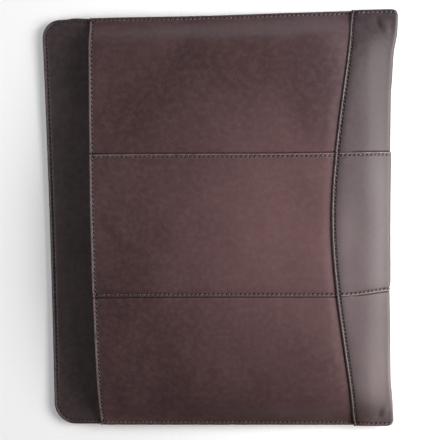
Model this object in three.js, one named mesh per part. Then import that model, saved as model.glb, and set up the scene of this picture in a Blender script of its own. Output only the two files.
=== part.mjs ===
// A leather document case, a slip-in sleeve, lying on its back and keeping the form of what it carries.
// The back is two plies, which run on past the mouth as a flap with round corners. The front is three
// panels joined by lapped seams. An outer layer of three more panels wraps round the closed end: on the
// front its curved edge is the mouth of a slip pocket, and underneath it butts against the back.
// Millimetres. +X points to the closed end, +Y along the case, +Z up, and z = 0 is the table.
import * as THREE from "three";

const { lerp, smoothstep, degToRad } = THREE.MathUtils;

// Driving dimensions
const caseLength = 344.2; // over the sewn sides of the front
const caseWidth = 287.2; // from the flap's edge to the fold at the closed end
const flapReach = 40.7; // how far the back runs on past the mouth
const crownHeight = 18.8; // top of the front at the middle of the mouth
const hide = 1.4; // one ply of leather
const hem = 2.4; // turned edge at the mouth and at the pocket
const hemWidth = 8;
const plyGap = 0.3; // between neighbouring pieces
const sideMargin = 5; // flat band along each sewn side
const backInset = 0.2; // the back's sides lie in from the front's
const wrapOverhang = 0.2; // the wrap's sides stand out past the front's
const flapCornerUpper = 15.5; // radius
const flapCornerLower = 19;
const flapBow = 1.2; // how far the flap's edge draws in at its middle

// Lapped seams
const lapLift = 0.8; // how much higher the middle panel lies than its neighbours
const lapDepth = 7; // how far a neighbour's thinned edge runs under the middle panel
const skived = 1; // thickness of that edge

// Slip pocket and the wrap round the closed end
const pocketDepth = 50.4; // from the fold to the pocket's edge, at mid length
const pocketEndDepth = 31; // the same at the sewn sides
const pocketBend = 0.39; // share of the half length over which the pocket's edge turns
const pocketCentre = 0.023; // where its deepest point lies, as a share of the half length
const pocketGape = 0.9; // how far the pocket's edge stands off the front at mid length
const legReach = 47; // how far the wrap runs on underneath, in from the fold
const earReach = 6.4; // how far the fold's sewn ends stand out past its middle
const earCorner = 4.5; // radius

// Seam lines, as shares of the half length, from the mouth past the pocket's edge to the fold
const seams = [
  { at: 0, upper: 0.344, lower: 0.342 },
  { at: 0.79, upper: 0.331, lower: 0.346 },
  { at: 1, upper: 0.335, lower: 0.332 },
];

// Rise of the front's crown above its sewn sides, from the mouth (0) to the fold (1), as shares of the
// rise at the mouth. The slope runs on a little past the fold, where the table ends.
const spine = [
  { at: 0, rise: 1 },
  { at: 0.2, rise: 0.95 },
  { at: 0.42, rise: 0.93 },
  { at: 0.62, rise: 0.99 },
  { at: 0.77, rise: 1.08 },
  { at: 0.82, rise: 1.06 },
  { at: 0.87, rise: 0.91 },
  { at: 0.91, rise: 0.73 },
  { at: 0.95, rise: 0.48 },
  { at: 0.98, rise: 0.29 },
  { at: 1.01, rise: 0.14 },
  { at: 1.06, rise: 0.03 },
];

// Arch of the front across the case, from the middle (0) to the sewn margin (1), as shares of the crown:
// the two halves of the gaping mouth, and the body, which is filled out nearly to its sides
const arches = [
  { at: 0, upper: 0.97, lower: 0.97, body: 1 },
  { at: 0.15, upper: 0.93, lower: 1, body: 1 },
  { at: 0.3, upper: 0.86, lower: 0.99, body: 1 },
  { at: 0.42, upper: 0.77, lower: 0.93, body: 0.995 },
  { at: 0.54, upper: 0.68, lower: 0.87, body: 0.99 },
  { at: 0.66, upper: 0.6, lower: 0.78, body: 0.98 },
  { at: 0.78, upper: 0.5, lower: 0.62, body: 0.96 },
  { at: 0.88, upper: 0.4, lower: 0.43, body: 0.88 },
  { at: 0.93, upper: 0.26, lower: 0.28, body: 0.62 },
  { at: 0.965, upper: 0.1, lower: 0.1, body: 0.24 },
  { at: 1, upper: 0, lower: 0, body: 0 },
];
const lipFade = 0.75; // share of the front's width over which the mouth's arch turns into the body's

// Outline of the fold seen from above, from mid length (0) to the sewn side (1), as shares of earReach
const ears = [
  { at: 0, upper: -0.16, lower: -0.16 },
  { at: 0.33, upper: -0.07, lower: -0.11 },
  { at: 0.5, upper: -0.02, lower: -0.02 },
  { at: 0.6, upper: 0.02, lower: 0 },
  { at: 0.67, upper: 0.16, lower: 0.02 },
  { at: 0.76, upper: 0.31, lower: 0.07 },
  { at: 0.81, upper: 0.44, lower: 0.18 },
  { at: 0.85, upper: 0.66, lower: 0.27 },
  { at: 0.9, upper: 0.88, lower: 0.39 },
  { at: 1, upper: 1, lower: 0.55 },
];

// Dents where the filled body pulls at the sewn ends of the fold: place as shares of the front's width
// and half length, length and breadth as shares of earReach, depth as a share of the rise there
const dents = [
  { across: 0.972, along: 0.925, length: 1.7, breadth: 0.6, turn: 108, depth: 0.75 },
  { across: 0.965, along: -0.945, length: 1.3, breadth: 0.8, turn: 60, depth: 0.55 },
];

const halfLength = caseLength / 2;
const flapX = -caseWidth / 2;
const foldX = caseWidth / 2;
const mouthX = flapX + flapReach;
const legX = foldX - legReach;
const plyPitch = hide + plyGap; // from one ply's face to the next one's
const marginTop = 2 * plyPitch + hide; // top of the front where it is sewn down
const pocketRoom = skived + plyGap; // how far the front sinks under the wrap, clear of the wrap's laps

// Value of a table's column between its rows, on a smooth curve that doesn't overshoot them
function along(rows, column, at) {
  const last = rows.length - 1;
  if (at <= rows[0].at) return rows[0][column];
  if (at >= rows[last].at) return rows[last][column];
  const slope = (k) => {
    if (k === 0 || k === last) return 0;
    const before = (rows[k][column] - rows[k - 1][column]) / (rows[k].at - rows[k - 1].at);
    const after = (rows[k + 1][column] - rows[k][column]) / (rows[k + 1].at - rows[k].at);
    return before * after > 0 ? (2 * before * after) / (before + after) : 0;
  };
  const i = rows.findIndex((row) => row.at > at) - 1;
  const span = rows[i + 1].at - rows[i].at;
  const t = (at - rows[i].at) / span;
  const ease = t * t * (3 - 2 * t);
  const bend = t * (1 - t) * span;
  return lerp(rows[i][column], rows[i + 1][column], ease) + bend * ((1 - t) * slope(i) - t * slope(i + 1));
}

const sideOf = (y) => (y > 0 ? "upper" : "lower");

// How free a point is of the sewn side: 0 on the margin, 1 a few widths of it further in
const freeOfSide = (y) => smoothstep(halfLength - sideMargin - Math.abs(y), 0, 2 * sideMargin);

// The pocket's edge, a hyperbola: straight near the sewn sides and bent at mid length
function pocketX(y) {
  const arm = (r) => Math.hypot(1, r / pocketBend) - 1;
  const r = Math.abs(y / halfLength - pocketCentre);
  return foldX - lerp(pocketDepth, pocketEndDepth, arm(r) / arm(1));
}

const seamY = (side, x) => {
  const share = along(seams, side, (x - mouthX) / (foldX - mouthX));
  return (side === "upper" ? share : -share) * halfLength;
};

// Share of the rise that the dents take away
function dentShare(x, y) {
  return dents.reduce((sum, dent) => {
    const dx = x - lerp(mouthX, foldX, dent.across);
    const dy = y - dent.along * halfLength;
    const turn = degToRad(dent.turn);
    const u = (dx * Math.cos(turn) + dy * Math.sin(turn)) / (dent.length * earReach);
    const v = (dy * Math.cos(turn) - dx * Math.sin(turn)) / (dent.breadth * earReach);
    return sum + dent.depth * Math.exp(-u * u - v * v);
  }, 0);
}

// Top of the front's outer panels, from which every other surface of the front and the wrap is offset
function frontHeight(x, y) {
  const reach = (x - mouthX) / (foldX - mouthX);
  const across = Math.abs(y) / (halfLength - sideMargin);
  const lip = 1 - smoothstep(reach, 0, lipFade);
  const arch = lerp(along(arches, "body", across), along(arches, sideOf(y), across), lip);
  const rise = (crownHeight - marginTop) * along(spine, "rise", reach) * arch;
  return marginTop + rise * (1 - dentShare(x, y));
}

// Where the base surface turns round the closed end: a circle that leaves the front along its own slope
// and comes out level underneath
function foldAt(y) {
  const step = 0.5;
  const outline = foldX + earReach * along(ears, sideOf(y), Math.min(Math.abs(y) / halfLength, 1));
  let radius = hide;
  let start = outline - 3 * hide;
  let lean = 0;
  for (let round = 0; round < 24; round++) {
    lean = Math.atan((frontHeight(start - step, y) - frontHeight(start + step, y)) / (2 * step));
    radius = (frontHeight(start, y) - plyPitch) / (1 + Math.cos(lean));
    start = outline - plyPitch - radius * (1 - Math.sin(lean));
  }
  return { start, lean, radius, centre: outline - plyPitch - radius };
}

// A point of the base surface: zone 0 to 1 runs from the pocket's edge down the front's slope, 1 to 2
// round the fold, and 2 to 3 back underneath
function baseOfWrap(zone, y) {
  const fold = foldAt(y);
  if (zone <= 1) {
    const x = lerp(pocketX(y), fold.start, zone);
    return new THREE.Vector3(x, y, frontHeight(x, y));
  }
  if (zone <= 2) {
    const angle = lerp(fold.lean, Math.PI, zone - 1);
    const x = fold.centre + fold.radius * Math.sin(angle);
    return new THREE.Vector3(x, y, plyPitch + fold.radius * (1 + Math.cos(angle)));
  }
  return new THREE.Vector3(lerp(fold.centre, legX, zone - 2), y, plyPitch);
}

// A point at some height off a surface given by point(i, j)
function offset(point, i, j, stepI, stepJ, height) {
  const alongI = point(i + stepI, j).sub(point(i - stepI, j));
  const alongJ = point(i, j + stepJ).sub(point(i, j - stepJ));
  return point(i, j).addScaledVector(alongI.cross(alongJ).normalize(), height);
}

const offFront = (x, y, height) =>
  offset((i, j) => new THREE.Vector3(i, j, frontHeight(i, j)), x, y, 0.2, 0.2, height);

// How much the rounding of the ears' corners takes off the fold's outline
function cornerCut(y) {
  const fromEnd = Math.min(halfLength + wrapOverhang - Math.abs(y), earCorner);
  return earCorner - Math.sqrt(earCorner ** 2 - (earCorner - fromEnd) ** 2);
}

// A point at some height off the base of the wrap, with the corners of the ears rounded in plan
function offWrap(zone, y, height) {
  const point = offset(baseOfWrap, zone, y, 0.01, 0.2, height);
  point.x -= cornerCut(y) * smoothstep(point.x, foldX - 4 * earCorner, foldX - earCorner);
  return point;
}

// A closed sheet between two grids of points, outer[i][j] and inner[i][j], where i runs along +X on the
// top of the case and j along +Y
function sheet(outer, inner) {
  const rows = outer.length;
  const columns = outer[0].length;
  const points = [...outer.flat(), ...inner.flat()];
  const at = (face, i, j) => face * rows * columns + i * columns + j;
  const index = [];
  const quad = (a, b, c, d) => index.push(a, b, c, a, c, d);
  for (let i = 0; i + 1 < rows; i++)
    for (let j = 0; j + 1 < columns; j++) {
      quad(at(0, i, j), at(0, i + 1, j), at(0, i + 1, j + 1), at(0, i, j + 1));
      quad(at(1, i, j), at(1, i, j + 1), at(1, i + 1, j + 1), at(1, i + 1, j));
    }
  for (let i = 0; i + 1 < rows; i++) {
    quad(at(1, i, 0), at(1, i + 1, 0), at(0, i + 1, 0), at(0, i, 0));
    quad(at(0, i, columns - 1), at(0, i + 1, columns - 1), at(1, i + 1, columns - 1), at(1, i, columns - 1));
  }
  for (let j = 0; j + 1 < columns; j++) {
    quad(at(0, 0, j), at(0, 0, j + 1), at(1, 0, j + 1), at(1, 0, j));
    quad(at(1, rows - 1, j), at(1, rows - 1, j + 1), at(0, rows - 1, j + 1), at(0, rows - 1, j));
  }
  return new THREE.BufferGeometry().setFromPoints(points).setIndex(index);
}

// Where the points of an outer panel lie across the case, from its seam out to its sewn side. Each has a
// place on the outer face and on the inner one, and its depth below the panel's own two faces. Where the
// panel is lapped (1) its edge steps down and runs on under the middle panel, and where it isn't (0)
// the edge is cut square.
const fieldShares = [0.14, 0.28, 0.42, 0.56, 0.7, 0.8, 0.86, 0.9, 0.93, 0.955, 0.98, 1];
function outerPanelAcross(side, x, end, lapped) {
  const out = side === "upper" ? 1 : -1;
  const seam = seamY(side, x);
  const start = seam + out * plyGap;
  const margin = out * (halfLength - sideMargin);
  const drop = hide - lapLift + plyGap; // from the panel's outer face down to its thinned edge's
  const floor = drop + skived - hide; // and from its inner face
  const edge = [
    { into: lapDepth, back: 0, squareBack: 0, sink: drop, squareSink: (drop + hide) / 2, floor },
    { into: 0, back: 0, squareBack: hide / 3, sink: drop, squareSink: drop, floor },
    { into: 0, back: skived, squareBack: (2 * hide) / 3, sink: 0, squareSink: 0, floor: 0 },
  ];
  const lap = edge.map((row) => ({
    outerY: start - out * lapped * row.into,
    innerY: start + out * (lerp(row.squareBack, row.back, lapped) - lapped * row.into),
    sink: lerp(row.squareSink, row.sink, lapped),
    floor: lapped * row.floor,
  }));
  const flat = (y) => ({ outerY: y, innerY: y, sink: 0, floor: 0 });
  const field = fieldShares.map((share) => flat(lerp(start, margin, share)));
  const corner = [1, 0.45, 0.12, 0].map((share) => flat(out * (end - share * earCorner)));
  const all = [...lap, ...field, ...(end > halfLength ? corner : corner.slice(-1))];
  return side === "upper" ? all : all.reverse();
}

function middlePanelAcross(x) {
  const columns = 10;
  return Array.from({ length: columns + 1 }, (_, j) => {
    const y = lerp(seamY("lower", x), seamY("upper", x), j / columns);
    return { outerY: y, innerY: y, sink: 0, floor: 0 };
  });
}

// Behind a turned edge the hem ends first, and the laps begin where it has ended. These are the stations
// there, as shares of the hem's width.
const hemShares = [0, 0.3, 1, 1.5, 2];
const hemmedAt = (fromEdge) => 1 - smoothstep(fromEdge, hemWidth, 1.5 * hemWidth);
const lappedAt = (fromEdge) => smoothstep(fromEdge, 1.5 * hemWidth, 2 * hemWidth);

// Stations of the front from the mouth to just short of the fold. Each says where it lies at a given y.
const frontEnd = (y) => foldAt(y).start - hide - cornerCut(y);
const frontStations = [
  ...hemShares.map((share) => () => mouthX + share * hemWidth),
  ...[0.14, 0.28, 0.42, 0.56, 0.7, 0.82, 0.92].map((share) => (y) => lerp(mouthX, pocketX(y), share)),
  ...[0, 0.4, 0.8, 1.2].map((share) => (y) => pocketX(y) + share * hemWidth),
  ...[0.5, 0.7, 0.85, 1].map((share) => (y) => lerp(pocketX(y), frontEnd(y), share)),
];

function frontPanel(side) {
  const lift = side === "middle" ? lapLift : 0;
  const grid = { outer: [], inner: [] };
  for (const station of frontStations) {
    const nominal = station(0);
    const turned = hemmedAt(nominal - mouthX);
    const across =
      side === "middle"
        ? middlePanelAcross(nominal)
        : outerPanelAcross(side, nominal, halfLength, lappedAt(nominal - mouthX));
    const place = (y, off) => {
      const x = station(y);
      const sunk = pocketRoom * smoothstep(x - pocketX(y), 0, hemWidth) * freeOfSide(y);
      return offFront(x, y, lift - sunk - off);
    };
    const thickness = (y) => hide + (hem - hide) * turned * freeOfSide(y);
    grid.outer.push(across.map((p) => place(p.outerY, p.sink)));
    grid.inner.push(across.map((p) => place(p.innerY, thickness(p.innerY) + p.floor)));
  }
  return sheet(grid.outer, grid.inner);
}

// Stations of the wrap: along the pocket's edge, down the slope, round the fold and underneath
const zoneOf = (fromEdge, y) => fromEdge / (foldAt(y).start - pocketX(y));
const wrapStations = [
  ...hemShares.map((share) => (y) => zoneOf(share * hemWidth, y)),
  ...[0.25, 0.5, 0.75].map((share) => (y) => lerp(zoneOf(hemShares.at(-1) * hemWidth, y), 1, share)),
  ...[1, 1.14, 1.28, 1.42, 1.56, 1.7, 1.85, 2, 2.3, 2.65, 3].map((zone) => () => zone),
];
const lapEnds = { from: 1.14, to: 1.42 }; // round the fold, the laps die out before the lift does
const liftEnds = { from: 1.42, to: 1.85 };

function wrapPanel(side) {
  const middle = side === "middle";
  const grid = { outer: [], inner: [] };
  for (const station of wrapStations) {
    const nominal = station(0);
    const { x } = baseOfWrap(nominal, 0);
    const fromEdge = nominal < 1 ? x - pocketX(0) : Infinity;
    const turned = hemmedAt(fromEdge);
    const lapped = lappedAt(fromEdge) * (1 - smoothstep(nominal, lapEnds.from, lapEnds.to));
    const across = middle
      ? middlePanelAcross(x)
      : outerPanelAcross(side, x, halfLength + wrapOverhang, lapped);
    const lift = middle ? lapLift * (1 - smoothstep(nominal, liftEnds.from, liftEnds.to)) : 0;
    const place = (y, thickness, off) => {
      const gape = pocketGape * turned * freeOfSide(y) * (1 - (y / halfLength) ** 2);
      return offWrap(station(y), y, plyGap + gape + lift + thickness - off);
    };
    const thickness = (y) => hide + (hem - hide) * turned * freeOfSide(y);
    grid.outer.push(across.map((p) => place(p.outerY, thickness(p.outerY), p.sink)));
    grid.inner.push(across.map((p) => place(p.innerY, 0, p.floor)));
  }
  return sheet(grid.outer, grid.inner);
}

// One ply of the back: a flat sheet with round corners and a slightly bowed edge at the flap
function backPly(inset, closedX, bottom) {
  const left = flapX + inset;
  const top = halfLength - backInset - inset;
  const radii = [flapCornerUpper - inset, flapCornerLower - inset];
  const outline = new THREE.Shape();
  outline.moveTo(closedX, -top);
  outline.lineTo(closedX, top);
  outline.lineTo(left + radii[0], top);
  outline.absarc(left + radii[0], top - radii[0], radii[0], Math.PI / 2, Math.PI, false);
  outline.quadraticCurveTo(left + 2 * flapBow, 0, left, -top + radii[1]);
  outline.absarc(left + radii[1], -top + radii[1], radii[1], Math.PI, 1.5 * Math.PI, false);
  const ply = new THREE.ExtrudeGeometry(outline, { depth: hide, bevelEnabled: false, curveSegments: 10 });
  return ply.translate(0, 0, bottom);
}

const leather = (color, roughness) => new THREE.MeshStandardMaterial({ color, roughness, metalness: 0 });
const facingX = foldX - 2 * hem - 2 * plyPitch; // the inner ply stops short of the fold's inner wall
const pieces = {
  back_panel: { geometry: backPly(0, legX - plyGap, 0), material: leather(0x3f3131, 0.55) },
  back_facing: { geometry: backPly(0, facingX, plyPitch), material: leather(0x3a2d2f, 0.6) },
  front_upper: { geometry: frontPanel("upper"), material: leather(0x4a3435, 0.45) },
  front_middle: { geometry: frontPanel("middle"), material: leather(0x4c3436, 0.45) },
  front_lower: { geometry: frontPanel("lower"), material: leather(0x493334, 0.45) },
  wrap_upper: { geometry: wrapPanel("upper"), material: leather(0x4d3a3b, 0.42) },
  wrap_middle: { geometry: wrapPanel("middle"), material: leather(0x50393b, 0.42) },
  wrap_lower: { geometry: wrapPanel("lower"), material: leather(0x4b3839, 0.42) },
};

const documentCase = new THREE.Group();
for (const [name, { geometry, material }] of Object.entries(pieces)) {
  const mesh = new THREE.Mesh(geometry, material);
  mesh.name = name;
  documentCase.add(mesh);
}

// The origin is the middle of the case's footprint, on the table
const extent = new THREE.Box3().setFromObject(documentCase);
const centre = extent.getCenter(new THREE.Vector3());
documentCase.position.set(-centre.x, -centre.y, 0);

export default documentCase;
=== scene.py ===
# The looks of a leather document case: fine leather panels with turned edges and stitched grooves over the
# frame's solids, the thread of every seam, and the studio. Helpers work in millimetres until a mesh is made.
import bpy
import bmesh
import math
import numpy as np
from mathutils import Euler, Matrix, Vector
from mathutils.kdtree import KDTree


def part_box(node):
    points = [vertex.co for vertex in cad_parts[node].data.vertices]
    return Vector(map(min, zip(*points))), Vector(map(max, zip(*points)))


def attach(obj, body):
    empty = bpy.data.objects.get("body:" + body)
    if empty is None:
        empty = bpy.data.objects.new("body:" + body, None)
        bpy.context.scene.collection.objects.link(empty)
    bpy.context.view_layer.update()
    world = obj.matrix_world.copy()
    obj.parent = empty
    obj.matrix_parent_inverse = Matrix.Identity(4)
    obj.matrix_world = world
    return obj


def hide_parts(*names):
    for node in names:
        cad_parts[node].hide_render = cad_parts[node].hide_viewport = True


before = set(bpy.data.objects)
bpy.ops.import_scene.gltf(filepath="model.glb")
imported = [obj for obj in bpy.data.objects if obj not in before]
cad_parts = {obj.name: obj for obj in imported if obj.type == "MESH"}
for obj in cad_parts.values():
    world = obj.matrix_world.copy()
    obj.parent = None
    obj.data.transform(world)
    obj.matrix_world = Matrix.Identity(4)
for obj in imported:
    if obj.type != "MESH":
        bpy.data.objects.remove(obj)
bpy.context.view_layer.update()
MM = 0.001


def box_mm(node):
    low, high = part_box(node)
    return np.array(low) / MM, np.array(high) / MM


# Sizes of the frame, and the dimensions that follow from them
back_low, back_high = box_mm("back_panel")
facing_low, facing_high = box_mm("back_facing")
hide = back_high[2] - back_low[2]
ply_gap = facing_low[2] - back_high[2]
flap_x = back_low[0]
mouth_x = box_mm("front_middle")[0][0]
half_length = box_mm("front_upper")[1][1]
wrap_half = box_mm("wrap_upper")[1][1]
leg_x = back_high[0] + ply_gap
case_width = 287.2
fold_x = flap_x + case_width
ply_pitch = hide + ply_gap
margin_top = 2 * ply_pitch + hide

# Sizes of the leatherwork
crown_height = 18.8
hem = 2.4
hem_width = 8
side_margin = 5
flap_corner_upper = 15.5
flap_corner_lower = 19
flap_bow = 1.2
lap_lift = 0.8
pressed_lap = 0.12
lap_depth = 7
skived = 1
pocket_depth = 51.3
pocket_end_depth = 31
pocket_bend = 0.39
pocket_centre = 0.023
pocket_gape = 0.1
pocket_press = 0.7
pocket_press_width = 45
edge_skive = 0.45
edge_paring = 0.42
dip_width = 10
ear_reach = 6.4
ear_corner = 4.5
lip_fade = 0.75
pocket_room = skived + ply_gap
stitch_inset = 2.5
flap_inset = 3.2
stitch_pitch = 3.7
thread_width = 0.62

# Tables of the form: shares of the sizes above, from the mouth to the fold or from mid length to a side
SEAMS = {
    "at": [0, 0.79, 1],
    "upper": [0.344, 0.331, 0.335],
    "lower": [0.342, 0.346, 0.332],
}
SPINE = {
    "at": [0, 0.2, 0.42, 0.62, 0.77, 0.82, 0.87, 0.91, 0.95, 0.98, 1.01, 1.06],
    "rise": [1, 0.95, 0.93, 0.99, 1.08, 1.03, 0.895, 0.73, 0.48, 0.29, 0.14, 0.03],
}
ARCHES = {
    "at": [0, 0.15, 0.3, 0.42, 0.54, 0.66, 0.78, 0.88, 0.93, 0.965, 1],
    "upper": [0.97, 0.93, 0.86, 0.77, 0.68, 0.6, 0.5, 0.4, 0.26, 0.1, 0],
    "lower": [0.97, 1, 0.99, 0.93, 0.87, 0.78, 0.62, 0.43, 0.28, 0.1, 0],
    "body_upper": [1, 1, 1, 0.995, 0.99, 0.98, 0.95, 0.84, 0.6, 0.26, 0],
    "body_lower": [1, 1, 1, 0.995, 0.99, 0.97, 0.9, 0.7, 0.46, 0.2, 0],
}
EARS = {
    "at": [0, 0.33, 0.5, 0.6, 0.67, 0.76, 0.81, 0.85, 0.9, 1],
    "upper": [-0.16, -0.07, -0.02, 0.02, 0.16, 0.31, 0.44, 0.66, 0.88, 1],
    "lower": [-0.16, -0.11, -0.02, 0, 0.02, 0.07, 0.18, 0.27, 0.39, 0.55],
}
# Dents and slack at the sewn ends of the fold: place, length and breadth in millimetres, depth as a share
# of the rise
DENTS = [
    {"from_fold": 11.6, "y": 163.5, "length": 6.5, "breadth": 1.7, "turn": 104, "depth": 0.5},
    {"from_fold": 30, "y": 158, "length": 20, "breadth": 13, "turn": 45, "depth": 0.16},
    {"from_fold": 9.8, "y": -163.3, "length": 6, "breadth": 2.8, "turn": 66, "depth": 0.45},
    {"from_fold": 31, "y": -157, "length": 19, "breadth": 12, "turn": 135, "depth": 0.12},
]
# Puffs of the leather at the ends of the fold, beside the dents
PUFFS = [
    {"from_fold": 6.6, "y": 162, "length": 9, "breadth": 3.4, "turn": 104, "height": 1.0},
    {"from_fold": 5.8, "y": -161, "length": 9, "breadth": 3.4, "turn": 78, "height": 1.2},
]
# Long soft waves of worn leather: wavelength and height in millimetres, direction in degrees, phase
WAVES = [
    {"length": 96, "height": 0.16, "turn": 12, "phase": 0.4},
    {"length": 71, "height": 0.13, "turn": 78, "phase": 2.1},
    {"length": 53, "height": 0.09, "turn": 141, "phase": 4.0},
    {"length": 38, "height": 0.06, "turn": 35, "phase": 1.2},
    {"length": 29, "height": 0.04, "turn": 103, "phase": 5.3},
]


def ease(t):
    t = np.clip(t, 0, 1)
    return t * t * (3 - 2 * t)


def lerp(a, b, t):
    return a + (b - a) * t


def along(table, column, at):
    """A table's column between its rows, on a smooth curve that doesn't overshoot them."""
    xs = np.array(table["at"], float)
    ys = np.array(table[column], float)
    steps = np.diff(ys) / np.diff(xs)
    before, after = steps[:-1], steps[1:]
    same = before * after > 0
    slopes = np.zeros(len(xs))
    slopes[1:-1][same] = (2 * before * after)[same] / (before + after)[same]
    at = np.clip(at, xs[0], xs[-1])
    i = np.clip(np.searchsorted(xs, at, side="right") - 1, 0, len(xs) - 2)
    span = xs[i + 1] - xs[i]
    t = (at - xs[i]) / span
    bend = t * (1 - t) * span
    return lerp(ys[i], ys[i + 1], ease(t)) + bend * ((1 - t) * slopes[i] - t * slopes[i + 1])


def by_side(table, y, at, kind=""):
    return np.where(y > 0, along(table, kind + "upper", at), along(table, kind + "lower", at))


def free_of_side(y):
    return ease((half_length - side_margin - np.abs(y)) / (2 * side_margin))


def pocket_x(y):
    def arm(r):
        return np.hypot(1, r / pocket_bend) - 1

    share = arm(np.abs(y / half_length - pocket_centre)) / arm(1)
    return fold_x - lerp(pocket_depth, pocket_end_depth, share)


def seam_y(side, x):
    share = along(SEAMS, side, (x - mouth_x) / (fold_x - mouth_x))
    return (share if side == "upper" else -share) * half_length


def spot(place, x, y):
    """A soft oval spot, 1 at its middle."""
    turn = math.radians(place["turn"])
    dx = x - (fold_x - place["from_fold"])
    dy = y - place["y"]
    u = (dx * math.cos(turn) + dy * math.sin(turn)) / place["length"]
    v = (dy * math.cos(turn) - dx * math.sin(turn)) / place["breadth"]
    return np.exp(-u * u - v * v)


def waves(x, y):
    total = np.zeros(np.broadcast(x, y).shape)
    for wave in WAVES:
        turn = math.radians(wave["turn"])
        run = (x * math.cos(turn) + y * math.sin(turn)) * 2 * math.pi / wave["length"]
        total = total + wave["height"] * np.sin(run + wave["phase"])
    return total


def front_height(x, y):
    """Top of the front's outer panels, from which every other surface of the front and the wrap is offset."""
    reach = (x - mouth_x) / (fold_x - mouth_x)
    across = np.abs(y) / (half_length - side_margin)
    lip = 1 - ease(reach / lip_fade)
    full = ease((reach - 0.86) / 0.08)
    body = sum(
        lerp(by_side(ARCHES, y, across + shift, "body_"), along(ARCHES, "body_upper", across + shift), full)
        for shift in (-0.026, 0, 0.026)
    ) / 3
    arch = lerp(body, by_side(ARCHES, y, across), lip)
    rise = (crown_height - margin_top) * along(SPINE, "rise", reach) * arch
    loose = free_of_side(y) * ease((fold_x - 12 - x) / 30)
    dented = sum(dent["depth"] * spot(dent, x, y) for dent in DENTS)
    puffed = sum(puff["height"] * spot(puff, x, y) for puff in PUFFS) * free_of_side(y)
    return margin_top + rise * (1 - dented) + puffed + waves(x, y) * loose


def solved_fold(y):
    """Where the base surface turns round the closed end: start, lean, radius and centre of its circle."""
    step = 0.5
    outline = fold_x + ear_reach * by_side(EARS, y, np.minimum(np.abs(y) / half_length, 1))
    start = outline - 3 * hide
    for _ in range(24):
        lean = np.arctan((front_height(start - step, y) - front_height(start + step, y)) / (2 * step))
        radius = (front_height(start, y) - ply_pitch) / (1 + np.cos(lean))
        start = outline - ply_pitch - radius * (1 - np.sin(lean))
    return start, lean, radius, outline - ply_pitch - radius


FOLD_Y = np.linspace(-wrap_half - 1, wrap_half + 1, 1400)
FOLD = solved_fold(FOLD_Y)


def fold_at(y):
    return [np.interp(y, FOLD_Y, column) for column in FOLD]


def front_base(x, y):
    return np.stack([x, y, front_height(x, y)], axis=-1)


def wrap_base(zone, y):
    """Zone 0 to 1 runs from the pocket's edge down the slope, 1 to 2 round the fold, 2 to 3 underneath."""
    start, lean, radius, centre = fold_at(y)
    top_x = lerp(pocket_x(y), start, np.minimum(zone, 1))
    angle = lerp(lean, math.pi, np.clip(zone - 1, 0, 1))
    under_x = lerp(centre, leg_x, np.clip(zone - 2, 0, 1))
    x = np.where(zone <= 1, top_x, np.where(zone <= 2, centre + radius * np.sin(angle), under_x))
    round_z = ply_pitch + radius * (1 + np.cos(angle))
    z = np.where(zone <= 1, front_height(top_x, y), np.where(zone <= 2, round_z, ply_pitch))
    return np.stack([x, y, z], axis=-1)


def offset(base, a, b, step_a, step_b, height):
    along_a = base(a + step_a, b) - base(a - step_a, b)
    along_b = base(a, b + step_b) - base(a, b - step_b)
    normal = np.cross(along_a, along_b)
    normal /= np.linalg.norm(normal, axis=-1, keepdims=True)
    return base(a, b) + normal * np.asarray(height)[..., None]


def settled(point):
    """The sewn edge's own unevenness: a slack stretch at mid width, and a small hump beside the mouth."""
    x, y = point[..., 0], point[..., 1]
    near = ease((y - half_length + 45) / 45)
    slack = 0.6 * np.exp(-(((x - mouth_x - 95) / 50) ** 2))
    from_hump = x - flap_x - 28.3
    hump = 0.95 * np.exp(-((from_hump / np.where(from_hump < 0, 5.5, 9)) ** 2)) * (x < mouth_x - 0.01)
    point[..., 1] = y + near * (hump - slack)
    return point


def on_front(x, y, height):
    return settled(offset(front_base, x, y, 0.2, 0.2, height))


def corner_cut(y):
    from_end = np.clip(wrap_half - np.abs(y), 0, ear_corner)
    return ear_corner - np.sqrt(ear_corner**2 - (ear_corner - from_end) ** 2)


def on_wrap(zone, y, height):
    """A point at some height off the wrap's base, with the ears' corners rounded in plan."""
    point = offset(wrap_base, zone, y, 0.01, 0.2, height)
    weight = ease((point[..., 0] - (fold_x - 4 * ear_corner)) / (3 * ear_corner))
    point[..., 0] -= corner_cut(y) * weight
    return settled(point)


def on_back(x, y, height):
    return settled(np.stack([x, y, np.broadcast_to(height, np.broadcast(x, y).shape)], axis=-1))


# Stitch lines. Each is a run of points with the leather's normal and the count of stitches up to them.
def stitch_line(place, a, b, height, pitch=stitch_pitch, slant=9):
    """The line of a seam through place(a, b, height), where a and b are fine runs of its coordinates."""
    points = place(a, b, height)
    normals = place(a, b, height + 1) - points
    normals /= np.linalg.norm(normals, axis=-1, keepdims=True)
    gone = np.concatenate([[0], np.cumsum(np.linalg.norm(np.diff(points, axis=0), axis=-1))])
    count = max(1, round(gone[-1] / pitch))
    run = gone / gone[-1] * count
    return {"points": points, "normals": normals, "run": run, "count": count, "slant": slant}


def stitch_relief(d, inset=stitch_inset):
    """How the leather stands beside a row of stitches d millimetres in from an edge."""
    bead = 0.3 * np.exp(-(((d - inset + 1.15) / 0.55) ** 2))
    groove = 0.42 * np.exp(-(((d - inset) / 0.5) ** 2))
    pull = 0.16 * np.exp(-(((d - inset) / 1.5) ** 2))
    return bead - groove - pull


def round_edge(d, radius):
    """0 inside a sheet, rising to 1 at its edge along a quarter circle."""
    t = np.clip(1 - d / radius, 0, 1)
    return 1 - np.sqrt(1 - t * t)


EDGE_STEPS = np.array([0, 0.1, 0.25, 0.45, 0.7, 1.05, 1.5, 2, 2.5, 3, 3.5, 4.2, 5])
EDGE_RADIUS = 0.7


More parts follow.
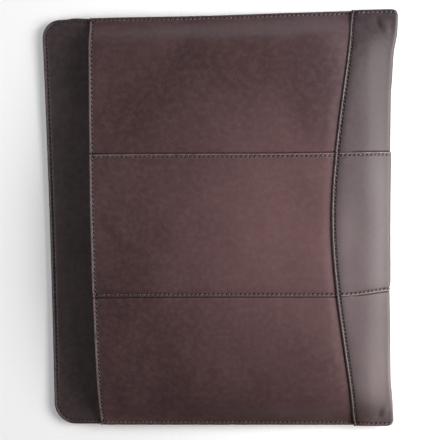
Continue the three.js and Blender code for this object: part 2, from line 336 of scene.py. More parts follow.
def ply(name, outer, inner, rim, lines, materials):
    """A closed sheet of leather between two grids of points, which meet along its border. Its points also
    hold how far they lie from a cut edge and from the nearest stitch line, and their place along and
    beside that line."""
    rows, columns = outer.shape[:2]
    bm = bmesh.new()
    rim_layer = bm.verts.layers.float.new("rim")
    off_layer = bm.verts.layers.float.new("stitch_off")
    run_layer = bm.verts.layers.float.new("stitch_run")
    beside_layer = bm.verts.layers.float.new("stitch_beside")
    bmesh.ops.create_grid(bm, x_segments=rows - 1, y_segments=columns - 1, size=1)
    face = bmesh.ops.duplicate(bm, geom=bm.verts[:] + bm.edges[:] + bm.faces[:])["geom"]
    under = [part for part in face if isinstance(part, bmesh.types.BMFace)]
    bmesh.ops.reverse_faces(bm, faces=under)
    for part in under:
        part.material_index = 1
    bm.verts.index_update()
    tree, guide = tree_of(lines)
    border = []
    for vert in bm.verts:
        side, index = divmod(vert.index, rows * columns)
        j, i = divmod(index, rows)
        vert.co = Vector((inner if side else outer)[i, j])
        vert[rim_layer] = rim[i, j]
        point, nearest, away = tree.find(vert.co)
        run, beside = guide[nearest]
        vert[off_layer] = away
        vert[run_layer] = run
        vert[beside_layer] = (vert.co - point).dot(beside)
        if i in (0, rows - 1) or j in (0, columns - 1):
            border.append(vert)
    bmesh.ops.remove_doubles(bm, verts=border, dist=1e-4)
    bmesh.ops.recalc_face_normals(bm, faces=bm.faces)
    bmesh.ops.scale(bm, vec=(MM,) * 3, verts=bm.verts)
    return finished(name, bm, materials)


def tree_of(lines):
    """A search tree of the points of stitch lines, with each point's place along its line and the direction
    beside it."""
    tree, guide = KDTree(sum(len(line["points"]) for line in lines)), []
    for line in lines:
        beside = np.cross(line["normals"], np.gradient(line["points"], axis=0))
        beside /= np.linalg.norm(beside, axis=-1, keepdims=True)
        for point, run, across in zip(line["points"], line["run"], beside):
            tree.insert(Vector(point), len(guide))
            guide.append((run, Vector(across)))
    tree.balance()
    return tree, guide


def finished(name, bm, materials):
    mesh = bpy.data.meshes.new(name)
    bm.to_mesh(mesh)
    bm.free()
    mesh.shade_smooth()
    for material in materials:
        mesh.materials.append(material)
    piece = bpy.data.objects.new(name, mesh)
    bpy.context.scene.collection.objects.link(piece)
    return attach(piece, "root")


class Socket:
    """A shader value: arithmetic on it adds Math nodes."""

    def __init__(self, tree, link):
        self.tree = tree
        self.link = link

    def math(self, operation, *others):
        node = self.tree.nodes.new("ShaderNodeMath")
        node.operation = operation
        for socket, value in zip(node.inputs, (self, *others)):
            feed(self.tree, socket, value)
        return Socket(self.tree, node.outputs[0])

    def __add__(self, other):
        return self.math("ADD", other)

    def __mul__(self, other):
        return self.math("MULTIPLY", other)

    def __sub__(self, other):
        return self.math("SUBTRACT", other)

    def __truediv__(self, other):
        return self.math("DIVIDE", other)

    def __rsub__(self, other):
        return self.math("MULTIPLY", -1).math("ADD", other)

    __radd__ = __add__
    __rmul__ = __mul__

    def ramp(self, low, high):
        """0 below low and 1 above high, smoothly."""
        node = self.tree.nodes.new("ShaderNodeMapRange")
        node.interpolation_type = "SMOOTHSTEP"
        feed(self.tree, node.inputs["Value"], self)
        node.inputs["From Min"].default_value = low
        node.inputs["From Max"].default_value = high
        return Socket(self.tree, node.outputs["Result"])


def feed(tree, socket, value):
    if isinstance(value, Socket):
        tree.links.new(value.link, socket)
    else:
        socket.default_value = value


class Shader:
    """The node tree of one material."""

    def __init__(self, name):
        self.material = bpy.data.materials.new(name)
        self.material.use_nodes = True
        self.tree = self.material.node_tree
        self.surface = self.tree.nodes["Principled BSDF"]

    def node(self, kind, output=0, settings=None, **inputs):
        """Any node: its type, its settings, and the values or links of its sockets."""
        node = self.tree.nodes.new(kind)
        for key, value in (settings or {}).items():
            setattr(node, key, value)
        for key, value in inputs.items():
            feed(self.tree, node.inputs[key.replace("_", " ")], value)
        return Socket(self.tree, node.outputs[output])

    def attribute(self, name):
        return self.node("ShaderNodeAttribute", "Fac", {"attribute_name": name})

    def place(self, stretch=(1, 1, 1)):
        """Object coordinates in millimetres, stretched as given."""
        place = self.node("ShaderNodeTexCoord", "Object")
        scale = tuple(value / MM for value in stretch)
        return self.node("ShaderNodeMapping", 0, Vector=place, Scale=scale)

    def place_from(self, centre, reach):
        """Object coordinates from a centre, in shares of a reach for each axis, both in millimetres."""
        place = self.node("ShaderNodeTexCoord", "Object")
        scale = tuple(1 / (value * MM) for value in reach)
        shift = tuple(-at / value for at, value in zip(centre, reach))
        return self.node("ShaderNodeMapping", 0, Vector=place, Location=shift, Scale=scale)

    def noise(self, place, size, detail=3.0, roughness=0.55, distortion=0.0):
        """Noise with lumps of about size millimetres, from 0 to 1."""
        return self.node(
            "ShaderNodeTexNoise", "Fac", Vector=place, Scale=1 / size, Detail=detail,
            Roughness=roughness, Distortion=distortion,
        )

    def cells(self, place, size, feature="F1"):
        return self.node(
            "ShaderNodeTexVoronoi", "Distance", {"feature": feature}, Vector=place, Scale=1 / size
        )

    def mix(self, factor, a, b):
        """Between two colours."""
        node = self.tree.nodes.new("ShaderNodeMix")
        node.data_type = "RGBA"
        for index, value in ((0, factor), (6, a), (7, b)):
            if not isinstance(value, Socket) and index:
                value = (*value, 1)
            feed(self.tree, node.inputs[index], value)
        return Socket(self.tree, node.outputs[2])

    def bump(self, height, strength, distance, normal=None):
        """Height in shares of distance, which is in millimetres."""
        links = {"Height": height, "Strength": strength, "Distance": distance * MM}
        if normal:
            links["Normal"] = normal
        return self.node("ShaderNodeBump", "Normal", **links)

    def finish(self, **inputs):
        for key, value in inputs.items():
            feed(self.tree, self.surface.inputs[key.replace("_", " ")], value)
        return self.material


def smooth_leather(name, deep, mid, warm, wear_and_highlight, gloss, shine_level=0.34, tone_and_painted_light=()):
    """Waxed grain leather: clouded dye, fine pores, painted shade in the stitch grooves and holes, edges
    rubbed lighter with a painted highlight on the raised bead, and soft fields that are mostly painted light
    and shade.
    """
    leather = Shader(name)
    place = leather.place()
    clouds = leather.noise(place, 60, 3.0, 0.5, 0.3)
    patches = leather.noise(leather.place((1, 0.6, 1)), 38, 2.0, 0.5, 0.4)
    mottle = leather.noise(place, 4.5, 4.0, 0.65)
    pores = leather.cells(place, 0.75)
    grain = leather.noise(place, 0.5, 2.0, 0.6)
    creases = leather.noise(leather.place((1, 2.2, 1)), 2.6, 5.0, 0.7, 1.2)
    rim = leather.attribute("rim")
    off = leather.attribute("stitch_off")
    run = leather.attribute("stitch_run")
    beside = leather.attribute("stitch_beside")
    to_hole = ((run + 0.5).math("FRACT") - 0.5) * stitch_pitch
    slanted = (to_hole - beside * 0.7).math("ABSOLUTE")
    hole = (1 - slanted.ramp(0.35, 0.95)) * (1 - off.ramp(0.75, 1.25))
    side = leather.node("ShaderNodeSeparateXYZ", "Y", Vector=place).math("ABSOLUTE")
    inland = 1 - side.ramp(half_length - 3.5, half_length - 2.5)
    groove = 1 - off.ramp(0.25, 1.0)
    bead_wear_and_highlight = rim.ramp(0.6, 1.0) * (1 - rim.ramp(1.4, 1.9))
    painted = 1 - rim.ramp(0.25, 0.65)

    colour = leather.mix(clouds.ramp(0.3, 0.7), deep, mid)
    # Soft fields of colour laid over the dye: mostly painted light and shade, partly the leather's own tone.
    for field in tone_and_painted_light:
        near = leather.node("ShaderNodeVectorMath", "Value", {"operation": "LENGTH"},
                            Vector=leather.place_from(field["centre"], field["reach"]))
        centre = 1 - (near + (patches - 0.5) * field["ragged"]).ramp(0.0, 1.0)
        colour = leather.mix(centre, colour, field["shade"])
    colour = leather.mix(patches.ramp(0.45, 0.75) * 0.25, colour, warm)
    colour = leather.mix(mottle.ramp(0.35, 0.8) * 0.12, colour, wear_and_highlight)
    # Lighter colour on the raised bead beside each cut edge: partly wear, partly a painted highlight where
    # the bead catches the light.
    colour = leather.mix(bead_wear_and_highlight * inland * mottle.ramp(0.2, 0.6) * 0.75, colour, wear_and_highlight)
    # Painted shade: the stitched grooves and the needle holes are darkened in colour.
    colour = leather.mix((groove * 0.4 + hole * 0.75).math("MINIMUM", 1), colour, [0.2 * c for c in deep])
    colour = leather.mix(painted * 0.65, colour, [0.3 * c for c in deep])
    shine = gloss + 0.08 * mottle.ramp(0.3, 0.7) + 0.06 * clouds.ramp(0.3, 0.7) + 0.25 * hole
    surface = pores * 0.5 + grain * 0.35 + creases * 0.5
    normal = leather.bump(surface, 0.3, 0.1)
    normal = leather.bump(1 - hole, 0.8, 0.35, normal)
    leather.finish(Coat_Weight=0.05, Coat_Roughness=0.3, Specular_IOR_Level=shine_level)
    return leather.finish(Base_Color=colour, Roughness=shine, Normal=normal)


def suede(name, dark, light):
    """The flesh side of the leather, seen inside the case and the pocket."""
    nap = Shader(name)
    place = nap.place()
    fuzz = nap.noise(place, 0.8, 5.0, 0.75)
    brushed = nap.noise(nap.place((1, 0.3, 1)), 14, 3.0)
    colour = nap.mix(fuzz * 0.6 + brushed.ramp(0.35, 0.65) * 0.4, dark, light)
    normal = nap.bump(fuzz, 0.6, 0.3)
    nap.finish(Sheen_Weight=0.35, Sheen_Roughness=0.5)
    return nap.finish(Base_Color=colour, Roughness=0.9, Normal=normal)


def waxed_thread(name, shade, glint):
    thread = Shader(name)
    place = thread.place()
    strands = thread.noise(place, 0.35, 2.0)
    wear_and_highlight = thread.noise(place, 9, 2.0)
    # Lighter strands, mixed towards glint, are painted glints on the waxed thread, with some wear.
    colour = thread.mix(strands.ramp(0.35, 0.75) * 0.6 + wear_and_highlight.ramp(0.45, 0.7) * 0.4, shade, glint)
    normal = thread.bump(strands, 0.6, 0.15)
    thread.finish(Coat_Weight=0.2, Coat_Roughness=0.3)
    return thread.finish(Base_Color=colour, Roughness=0.5, Normal=normal)


# Soft fields of colour over the leather: centre and reach in millimetres, and the shade there. On the front,
# the broad middle field is partly a redder dye and partly painted light, and the upper right one is painted
# shade. On the wrap, the broad first field is partly its warmer tone and partly painted light towards the
# lower end. The stretch beside the pocket's edge and the paler lower end are painted light, and the narrow
# streak near the fold is a painted highlight. The reddish lower corner and the line along the fold's turn are
# painted shade.
FRONT_TONE_AND_PAINTED_LIGHT = [
    {"centre": (52, -4, 10), "reach": (145, 182, 400), "ragged": 0.5, "shade": (0.104, 0.052, 0.054)},
    {"centre": (88, 128, 10), "reach": (48, 80, 400), "ragged": 0.3, "shade": (0.044, 0.021, 0.024)},
]
WRAP_TONE_AND_PAINTED_LIGHT = [
    {"centre": (112, -75, 10), "reach": (52, 225, 200), "ragged": 0.5, "shade": (0.064, 0.045, 0.048)},
    {"centre": (98, -30, 15), "reach": (23, 125, 60), "ragged": 0.3, "shade": (0.100, 0.074, 0.078)},
    {"centre": (130, -40, 12), "reach": (8, 150, 60), "ragged": 0.2, "shade": (0.074, 0.057, 0.060)},
    {"centre": (128, -134, 10), "reach": (44, 66, 60), "ragged": 0.2, "shade": (0.098, 0.075, 0.078)},
    {"centre": (109, -171, 8), "reach": (29, 27, 60), "ragged": 0.2, "shade": (0.044, 0.018, 0.017)},
    {"centre": (145, 0, 6), "reach": (7, 300, 30), "ragged": 0.1, "shade": (0.033, 0.026, 0.028)},
]
front_leather = smooth_leather(
    "front_leather",
    deep=(0.040, 0.018, 0.0185),
    mid=(0.052, 0.0235, 0.0245),
    warm=(0.096, 0.048, 0.050),
    wear_and_highlight=(0.19, 0.13, 0.13),
    gloss=0.45,
    tone_and_painted_light=FRONT_TONE_AND_PAINTED_LIGHT,
)
wrap_leather = smooth_leather(
    "wrap_leather",
    deep=(0.024, 0.0145, 0.0165),
    mid=(0.031, 0.0195, 0.022),
    warm=(0.064, 0.045, 0.048),
    wear_and_highlight=(0.17, 0.13, 0.13),
    gloss=0.48,
    shine_level=0.22,
    tone_and_painted_light=WRAP_TONE_AND_PAINTED_LIGHT,
)
back_leather = smooth_leather(
    "back_leather",
    deep=(0.025, 0.016, 0.017),
    mid=(0.034, 0.0205, 0.0215),
    warm=(0.041, 0.0215, 0.024),
    wear_and_highlight=(0.15, 0.1, 0.1),
    gloss=0.48,
)
flesh_side = suede("flesh_side", (0.035, 0.021, 0.018), (0.075, 0.048, 0.040))
# The brown thread carries painted glints. The darker thread is a shaded copy of it, and its darkness is
# painted shade. It is sewn on the flap, along the pocket's edge and underneath.
brown_thread = waxed_thread("brown_thread", (0.05, 0.029, 0.028), (0.23, 0.175, 0.16))
shaded_thread = waxed_thread("shaded_thread", (0.02, 0.012, 0.012), (0.06, 0.036, 0.034))


def hem_thickness(from_edge, y):
    turned = 1 - ease((from_edge - hem_width) / (0.5 * hem_width))
    return hide + (hem - hide) * turned * free_of_side(y)


def pocket_sag(from_edge, y):
    """The pocket's edge lies pressed into the front, a little open at mid length."""
    gape = pocket_gape * (1 - (y / half_length) ** 2)
    pressed = pocket_press * pocket_room
    return (gape - pressed) * (1 - ease(from_edge / pocket_press_width)) * free_of_side(y)


def sunk_under_wrap(x, y):
    """The front dips before it goes under the pocket's edge."""
    past = x - pocket_x(y)
    before, under = ease((past + dip_width - 1) / dip_width), ease(past / hem_width)
    share = lerp(0.2, 0.42, ease((60 - y) / 100))
    return lerp(under, before, share) * pocket_room * free_of_side(y)


def front_end(y):
    return fold_at(y)[0] - hide - corner_cut(y)


def columns_across(side, nominal_x, end, lapped):
    """Rows of y for each nominal x, from -y to +y, with the distance of each from its seam or seams."""
    nominal_x = np.asarray(nominal_x, float)[:, None]
    if side == "middle":
        low = seam_y("lower", nominal_x)
        high = seam_y("upper", nominal_x)
        shares = np.linspace(0, 1, 43)[1:-1]
        inner_low, inner_high = low + EDGE_STEPS[-1], high - EDGE_STEPS[-1]
        y = np.concatenate(
            [low + EDGE_STEPS, lerp(inner_low, inner_high, shares), high - EDGE_STEPS[::-1]], axis=1
        )
        return y, np.minimum(y - low, high - y)
    out = 1 if side == "upper" else -1
    seam = np.abs(seam_y(side, nominal_x))
    tongue = np.array([-lap_depth, -lap_depth + 0.3, -4, -2, -0.4]) * np.maximum(lapped, 0.03)[:, None]
    beside = np.broadcast_to([0.05, 0.4, 0.8, 1.3, 2, 3, 4.5, 6.5], (len(seam), 8))
    margin = end - EDGE_STEPS[-1]
    bend = lerp(seam + 6.5, margin, 0.78)
    field = lerp(seam + 6.5, bend, np.linspace(0, 1, 30)[1:])
    drop = lerp(bend, margin, np.linspace(0, 1, 19)[1:-1])
    edge = np.broadcast_to(end - EDGE_STEPS[::-1], (len(seam), len(EDGE_STEPS)))
    y = np.concatenate([seam + tongue, seam + beside, field, drop, edge], axis=1)
    from_seam = y - seam
    return (y * out, from_seam) if out > 0 else (-y[:, ::-1], from_seam[:, ::-1])


def lifted_middle(y, x):
    """Lift of the middle panel over its neighbours: its lower edge is pressed flatter than its upper one."""
    from_lower = y - seam_y("lower", x)
    return lap_lift * lerp(pressed_lap, 1, ease(from_lower / 10))


def lap_heights(side, from_seam, thickness, lapped):
    """How far a panel's outer and inner faces lie below where they would be without the lapped seam."""
    if side == "middle":
        return 0, 0
    deep = 1 - ease((from_seam + 0.3) / 1.1)
    dip = 0.22 * np.exp(-(np.maximum(from_seam, 0) / 1.8) ** 2)
    lift = lap_lift * (pressed_lap if side == "lower" else 1)
    drop = thickness - lift + ply_gap
    return lapped * deep * drop + dip * (1 - deep), lapped * deep * (drop + skived - thickness)


def front_panel(side, lines):
    """Columns run from the mouth to the pocket's edge and on under the wrap."""
    edge = EDGE_STEPS
    stations = [lambda y, d=d: mouth_x + d for d in (*edge, 6.5, 8, 9.5, 11.5, 14)]
    stations += [
        lambda y, s=s: lerp(mouth_x + 14, pocket_x(y) - 10, s) for s in np.linspace(0, 1, 62)[1:]
    ]
    stations += [
        lambda y, d=d: pocket_x(y) + d for d in (-8.5, -7, -5.5, -4.2, -3, -2, -1, 0, 1.5, 3, 5, 8, 11)
    ]
    stations += [
        lambda y, s=s: lerp(pocket_x(y) + 11, front_end(y), s) for s in (0.25, 0.5, 0.75, 0.95, 1)
    ]
    nominal = np.array([float(station(0.0)) for station in stations])
    y, from_seam = columns_across(side, nominal, half_length, np.ones(len(nominal)))
    x = np.stack([np.broadcast_to(station(row), row.shape) for station, row in zip(stations, y)])
    from_mouth = x - mouth_x
    from_end = np.arange(len(stations))[::-1, None] * 0.35 + 0 * x
    from_side = half_length - np.abs(y)
    thickness = hem_thickness(from_mouth, y)
    sunk = sunk_under_wrap(x, y)
    shown = 1 - ease((x - pocket_x(y)) / 2)
    lower_outer, lower_inner = lap_heights(side, from_seam, thickness, np.ones_like(x))
    lift = lifted_middle(y, nominal[:, None]) if side == "middle" else 0
    relief = stitch_relief(from_mouth)
    if side == "middle":
        relief = relief + stitch_relief(from_seam) * shown
        edges = [from_mouth, from_end, from_seam]
        rim = np.minimum(from_mouth, np.where(y > 0, from_seam, 99))
    else:
        relief = relief + stitch_relief(from_side) * shown
        edges = [from_mouth, from_end, from_side, from_seam - from_seam.min()]
        rim = np.minimum(from_mouth, from_side)
    top = lift - sunk - lower_outer + relief
    bottom = lift - sunk - thickness - lower_inner
    return sheet_of("front_panel_" + side, on_front, x, y, top, bottom, edges, rim, lines, front_leather)


def sheet_of(name, place, a, b, top, bottom, edges, rim, lines, skin):
    """Rounds a sheet's edges and makes it, from its coordinates and the heights of its two faces."""
    edge = np.max([round_edge(d, EDGE_RADIUS) for d in edges], axis=0)
    mid = (top + bottom) / 2
    outer = place(a, b, lerp(top, mid, edge))
    inner = place(a, b, lerp(bottom, mid, edge))
    return ply(name, outer, inner, rim, lines, [skin, flesh_side])


def zone_of(from_edge, y):
    return from_edge / (fold_at(y)[0] - pocket_x(y))


def wrap_panel(side, lines):
    """Rows run from the pocket's edge down the slope, round the fold and back underneath."""
    reach = 14.5
    stations = [lambda y, d=d: zone_of(d, y) for d in (*EDGE_STEPS, 6.5, 8, 10, 12, reach)]
    stations += [lambda y, s=s: lerp(zone_of(reach, y), 1, s) for s in np.linspace(0, 1, 13)[1:-1]]
    stations += [lambda y, z=z: z + 0 * y for z in np.linspace(1, 2, 19)]
    leg = float(fold_at(np.array(0.0))[3]) - leg_x
    stations += [lambda y, z=z: z + 0 * y for z in np.linspace(2, 3 - EDGE_STEPS[-1] / leg, 14)[1:-1]]
    stations += [lambda y, d=d: 3 - d / leg + 0 * y for d in EDGE_STEPS[::-1]]
    nominal = np.array([float(station(np.array(0.0))) for station in stations])
    nominal_x = wrap_base(nominal, np.zeros(len(nominal)))[:, 0]
    top_side = nominal < 1
    from_pocket = np.where(top_side, nominal_x - pocket_x(0.0), 99)
    hem_end = 1.5 * hem_width
    lapped = ease((from_pocket - hem_end) / (0.5 * hem_width)) * (1 - ease((nominal - 1.14) / 0.28))
    lifted = 1 - ease((nominal - 1.42) / 0.43)
    y, from_seam = columns_across(side, nominal_x, wrap_half, lapped)
    zone = np.stack([np.broadcast_to(station(row), row.shape) for station, row in zip(stations, y)])
    from_edge = np.where(zone < 1, zone / zone_of(1.0, y), 99)
    from_leg = np.where(zone > 2, (3 - zone) * leg, 99)
    from_side = wrap_half - np.abs(y)
    sag = pocket_sag(from_edge, y)
    grown = lapped[:, None] + 0 * y
    lower_outer, lower_inner = lap_heights(side, from_seam, hide, grown)
    lift = lifted_middle(y, nominal_x[:, None]) * lifted[:, None] if side == "middle" else 0
    relief = stitch_relief(from_edge) + np.minimum(stitch_relief(from_leg), 0)
    below = zone > 1.9
    if side == "middle":
        relief = relief + np.where(below, np.minimum(stitch_relief(from_seam), 0), stitch_relief(from_seam))
        edges = [from_edge, from_leg, from_seam]
        rim = np.minimum(np.minimum(from_edge, from_leg), from_seam)
    else:
        relief = relief + np.where(below, np.minimum(stitch_relief(from_side), 0), stitch_relief(from_side))
        edges = [from_edge, from_leg, from_side, from_seam - from_seam.min(axis=1, keepdims=True)]
        rim = np.minimum(np.minimum(from_edge, from_leg), from_side)
    skive = edge_skive * (1 - ease(from_edge / hem_width))
    pared = edge_paring * (1 - ease(from_edge / (0.5 * hem_width)))
    bottom = ply_gap + sag + pared + lift - lower_inner
    top = ply_pitch + sag + lift - skive - lower_outer + relief
    return sheet_of("wrap_panel_" + side, on_wrap, zone, y, top, bottom, edges, rim, lines, wrap_leather)


def flap_outline(y, top):
    """Left edge of the back at y: a shallow bow between two round corners."""
    bow = flap_bow * (1 - (y / top) ** 2)
    radius = np.where(y > 0, flap_corner_upper, flap_corner_lower)
    into = np.clip(top - np.abs(y), 0, radius)
    return flap_x + bow + radius - np.sqrt(radius**2 - (radius - into) ** 2)


def from_outline(x, y, top, closed_x):
    """Distance in from the back's outline."""
    radius = np.where(y > 0, flap_corner_upper, flap_corner_lower)
    left = x - flap_x - flap_bow * (1 - (y / top) ** 2)
    side = top - np.abs(y)
    corner = radius - np.hypot(radius - left, radius - side)
    in_corner = (left < radius) & (side < radius)
    return np.minimum(np.where(in_corner, corner, np.minimum(left, side)), closed_x - x)


def back_sheet(name, top_z, closed_x, facing_up, lines, skin):
    """One ply of the back. Its stitched face is the upper one on the flap, or the one underneath."""
    top = back_high[1]
    corner = [3.5, 4.2, 5, 5.8, 6.6, 7.4, 8.2, 9, 10, 11, 12, 13, 14, 15.5, 17.5, 20]
    from_top = np.concatenate([EDGE_STEPS[EDGE_STEPS < 3.4], corner])
    half = top - from_top
    y_row = np.concatenate([-half, np.linspace(-half[-1], half[-1], 110)[1:-1], half[::-1]])
    near = np.concatenate([EDGE_STEPS, [6, 7.2, 8.5, 10, 12, 14, 16.5, 19, 22, 25, 28, 31, 34, 37, 40]])
    far = np.linspace(0, 1, 45)[1:]
    y = np.broadcast_to(y_row, (len(near) + len(far) + len(EDGE_STEPS) - 1, len(y_row)))
    left = flap_outline(y_row, top)
    closed = closed_x - EDGE_STEPS[-1]
    x = np.concatenate(
        [
            left + near[:, None],
            lerp(left + near[-1], closed, far[:, None]),
            np.broadcast_to((closed_x - EDGE_STEPS[::-1])[1:, None], (len(EDGE_STEPS) - 1, len(y_row))),
        ]
    )
    inside = np.maximum(from_outline(x, y, top, closed_x), 0)
    inside[0, :] = 0
    relief = stitch_relief(inside, flap_inset)
    edge = round_edge(inside, EDGE_RADIUS)
    mid = top_z - hide / 2
    upper = top_z + (relief if facing_up else 0)
    lower = top_z - hide - (0 if facing_up else np.minimum(relief, 0))
    outer = on_back(x, y, lerp(upper, mid, edge))
    inner = on_back(x, y, lerp(lower, mid, edge))
    return ply(name, outer, inner, inside * stitch_inset / flap_inset, lines, [skin, skin])


# The seams' lines, found once and used for the grooves' holes and for the thread
fine = 1200
front_y = half_length - stitch_inset
wrap_y = wrap_half - stitch_inset


def groove(lift=0.0):
    return lift - 0.42 - 0.16


def side_line(out):
    x = np.linspace(mouth_x + 1, pocket_x(out * half_length) - 1, fine)
    return stitch_line(on_front, x, np.full(fine, out * front_y), groove())


def mouth_line(side):
    x = np.full(fine, mouth_x + stitch_inset)
    bounds = {
        "upper": (seam_y("upper", mouth_x) + 1.5, half_length - 4),
        "middle": (seam_y("lower", mouth_x) + 1.5, seam_y("upper", mouth_x) - 1.5),
        "lower": (-half_length + 4, seam_y("lower", mouth_x) - 1.5),
    }
    y = np.linspace(*bounds[side], fine)
    return stitch_line(on_front, x, y, groove(lifted_middle(y, mouth_x) if side == "middle" else 0))


def front_seam_line(side):
    out = -1 if side == "upper" else 1
    y_at = seam_y(side, mouth_x)
    x = np.linspace(mouth_x + 4, float(pocket_x(y_at)) - 1, fine)
    y = seam_y(side, x) + out * stitch_inset
    return stitch_line(on_front, x, y, groove(lifted_middle(y, x)))


def pocket_line(side):
    seam_x = fold_x - pocket_depth
    bounds = {
        "upper": (seam_y("upper", seam_x) + 1.5, wrap_half - 4),
        "middle": (seam_y("lower", seam_x) + 1.5, seam_y("upper", seam_x) - 1.5),
        "lower": (-wrap_half + 4, seam_y("lower", seam_x) - 1.5),
    }
    y = np.linspace(*bounds[side], fine)
    lift = lifted_middle(y, seam_x) if side == "middle" else 0
    height = ply_pitch + pocket_sag(stitch_inset, y) + lift + groove()
    return stitch_line(on_wrap, zone_of(stitch_inset, y), y, height, pitch=3.2)


def wrap_side_line(out):
    y = np.full(fine, out * wrap_y)
    zone = np.linspace(0.12, 3 - 0.03, fine)
    return stitch_line(on_wrap, zone, y, ply_pitch + groove())


def wrap_seam_line(side):
    out = -1 if side == "upper" else 1
    zone = np.linspace(0.1, 2.94, fine)
    x = wrap_base(zone, np.zeros(fine))[:, 0]
    y = seam_y(side, x) + out * stitch_inset
    lift = lifted_middle(y, x) * (1 - ease((zone - 1.42) / 0.43))
    from_edge = np.where(zone < 1, zone / zone_of(1.0, y), 99)
    return stitch_line(on_wrap, zone, y, ply_pitch + pocket_sag(from_edge, y) + lift + groove())


def leg_line():
    y = np.linspace(-wrap_half + 4, wrap_half - 4, fine)
    leg = float(fold_at(np.array(0.0))[3]) - leg_x
    return stitch_line(on_wrap, np.full(fine, 3 - stitch_inset / leg), y, ply_pitch + groove())


def perimeter_line(top_z, end_x):
    """Along the back's outline on a face at top_z, from one sewn side round the flap to the other."""
    top = back_high[1] - flap_inset
    upper, lower = flap_corner_upper - flap_inset, flap_corner_lower - flap_inset
    left = flap_x + flap_inset
    corner = np.linspace(0, math.pi / 2, 60)
    run_y = np.linspace(top - upper, -top + lower, 400)
    bow = flap_bow * (1 - (run_y / top) ** 2)
    x = np.concatenate(
        [
            np.linspace(end_x, left + upper, 300),
            left + upper - upper * np.sin(corner),
            left + bow,
            left + lower - lower * np.cos(corner),
            np.linspace(left + lower, end_x, 300),
        ]
    )
    y = np.concatenate(
        [
            np.full(300, top),
            top - upper + upper * np.cos(corner),
            run_y,
            -top + lower - lower * np.sin(corner),
            np.full(300, -top),
        ]
    )
    keep = np.concatenate([[True], np.hypot(np.diff(x), np.diff(y)) > 1e-6])
    return stitch_line(on_back, x[keep], y[keep], top_z)


def stitch_places(line, first, last):
    """For each stitch of part of a line: where it lies, turned and stretched, in millimetres."""
    at = np.arange(first, last) + 0.5
    places, ahead, behind = (
        np.stack([np.interp(where, line["run"], line["points"][:, k]) for k in range(3)], axis=-1)
        for where in (at, at + 0.4, at - 0.4)
    )
    leans = np.stack([np.interp(at, line["run"], line["normals"][:, k]) for k in range(3)], axis=-1)
    slant = Matrix.Rotation(math.radians(line["slant"]), 4, "Z")
    for place, front, back, up in zip(places, ahead, behind, leans):
        length = np.linalg.norm(front - back)
        forward = Vector((front - back) / length)
        up = Vector(up)
        up = (up - forward * up.dot(forward)).normalized()
        turn = Matrix((forward, up.cross(forward), up)).transposed().to_4x4()
        shape = Matrix.Diagonal((length * 0.56, thread_width * 0.5, thread_width * 0.42, 1))
        yield Matrix.Translation(Vector(place) + 0.16 * up) @ turn @ slant @ shape


def thread_piece(name, lines, thread):
    """Every stitch of some seams: a short bar of thread, sunk at both ends. They are made a handful at a
    time, which is quicker than adding each to the whole."""
    whole = bmesh.new()
    handful = 40
    for line in lines:
        for first in range(0, line["count"], handful):
            few = bmesh.new()
            for lying in stitch_places(line, first, min(first + handful, line["count"])):
                bmesh.ops.create_uvsphere(few, u_segments=6, v_segments=5, radius=1, matrix=lying)
            part = bpy.data.meshes.new("stitches")
            few.to_mesh(part)
            few.free()
            whole.from_mesh(part)
            bpy.data.meshes.remove(part)
    bmesh.ops.scale(whole, vec=(MM,) * 3, verts=whole.verts)
    return finished(name, whole, [thread])


def build_case():
    sides = {"upper": side_line(1), "lower": side_line(-1)}
    mouths = {side: mouth_line(side) for side in ("upper", "middle", "lower")}
    seams = {side: front_seam_line(side) for side in ("upper", "lower")}
    pockets = {side: pocket_line(side) for side in ("upper", "middle", "lower")}
    wrap_sides = {"upper": wrap_side_line(1), "lower": wrap_side_line(-1)}
    wrap_seams = {side: wrap_seam_line(side) for side in ("upper", "lower")}
    flap = perimeter_line(facing_high[2] + groove(), mouth_x - 1)
    below = perimeter_line(-groove(), leg_x - 4)
    below["normals"] = -below["normals"]
    leg = leg_line()
    for side in ("upper", "middle", "lower"):
        own = [mouths[side]] + ([*seams.values()] if side == "middle" else [sides[side]])
        piece = front_panel(side, own)
        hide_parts("front_" + side)
        own = [pockets[side], leg] + ([*wrap_seams.values()] if side == "middle" else [wrap_sides[side]])
        piece = wrap_panel(side, own)
        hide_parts("wrap_" + side)
    back = back_sheet("back_outer_ply", back_high[2], back_high[0], False, [below], back_leather)
    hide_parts("back_panel")
    facing = back_sheet("back_inner_ply", facing_high[2], facing_high[0], True, [flap], back_leather)
    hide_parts("back_facing")
    thread_piece("thread_sides", [*sides.values(), *wrap_sides.values()], brown_thread)
    thread_piece("thread_mouth", list(mouths.values()), brown_thread)
    thread_piece("thread_pocket", list(pockets.values()), shaded_thread)
    thread_piece("thread_seams", [*seams.values(), *wrap_seams.values()], brown_thread)
    thread_piece("thread_flap", [flap], shaded_thread)
    thread_piece("thread_underside", [below, leg], shaded_thread)


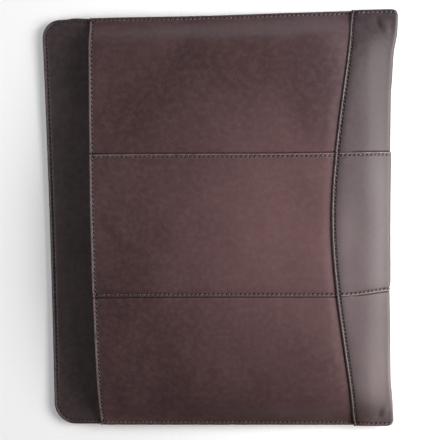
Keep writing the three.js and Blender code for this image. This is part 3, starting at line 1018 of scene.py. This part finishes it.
def build_studio():
    scene = bpy.context.scene
    data = bpy.data.cameras.new("camera")
    data.sensor_width = 36
    data.lens = 520 / 440 * 36
    camera = bpy.data.objects.new("camera", data)
    case_middle = flap_x + case_width / 2
    camera.location = Vector((case_middle + 18.1, 26.45, 438.9)) * MM
    camera.rotation_euler = Euler([math.radians(a) for a in (-3.07, 1.99, -0.87)], "XYZ")
    scene.collection.objects.link(camera)
    scene.camera = camera

    bm = bmesh.new()
    bmesh.ops.create_grid(bm, x_segments=1, y_segments=1, size=3)
    mesh = bpy.data.meshes.new("floor")
    bm.to_mesh(mesh)
    bm.free()
    white = Shader("table_white")
    speck = white.noise(white.place(), 1.5, 2.0)
    colour = white.mix(speck.ramp(0.3, 0.7), (0.91, 0.91, 0.915), (0.94, 0.94, 0.94))
    mesh.materials.append(white.finish(Base_Color=colour, Roughness=0.7))
    floor = bpy.data.objects.new("floor", mesh)
    scene.collection.objects.link(floor)

    warm, white, cool = (1.0, 0.985, 0.97), (1, 1, 1), (0.85, 0.9, 1.0)
    lights = [
        {"name": "window", "at": (0.55, 0.05, 0.26), "wide": 0.65, "high": 0.3, "glow": 9.5, "tint": warm},
        {"name": "daylight", "at": (0.9, 0.06, 0.27), "wide": 1.0, "high": 0.28, "glow": 16.0, "tint": warm},
        {"name": "pale_wall", "at": (-1.0, 0.0, 0.3), "wide": 1.2, "high": 0.35, "glow": 8.0, "tint": white},
        {"name": "sky", "at": (0.0, 1.0, 0.3), "wide": 1.2, "high": 0.35, "glow": 2.4, "tint": cool},
    ]
    for spec in lights:
        lamp = bpy.data.lights.new(spec["name"], "AREA")
        lamp.shape = "RECTANGLE"
        lamp.size = spec["wide"]
        lamp.size_y = spec["high"]
        lamp.energy = spec["glow"] * math.pi * spec["wide"] * spec["high"]
        lamp.color = spec["tint"]
        light = bpy.data.objects.new(spec["name"], lamp)
        light.location = spec["at"]
        light.rotation_euler = light.location.to_track_quat("Z", "Y").to_euler()
        scene.collection.objects.link(light)

    world = bpy.data.worlds.new("studio")
    world.use_nodes = True
    world.node_tree.nodes["Background"].inputs["Color"].default_value = (0.97, 0.98, 1.0, 1)
    world.node_tree.nodes["Background"].inputs["Strength"].default_value = 0.06
    scene.world = world
    scene.view_settings.view_transform = "Standard"


build_studio()
build_case()
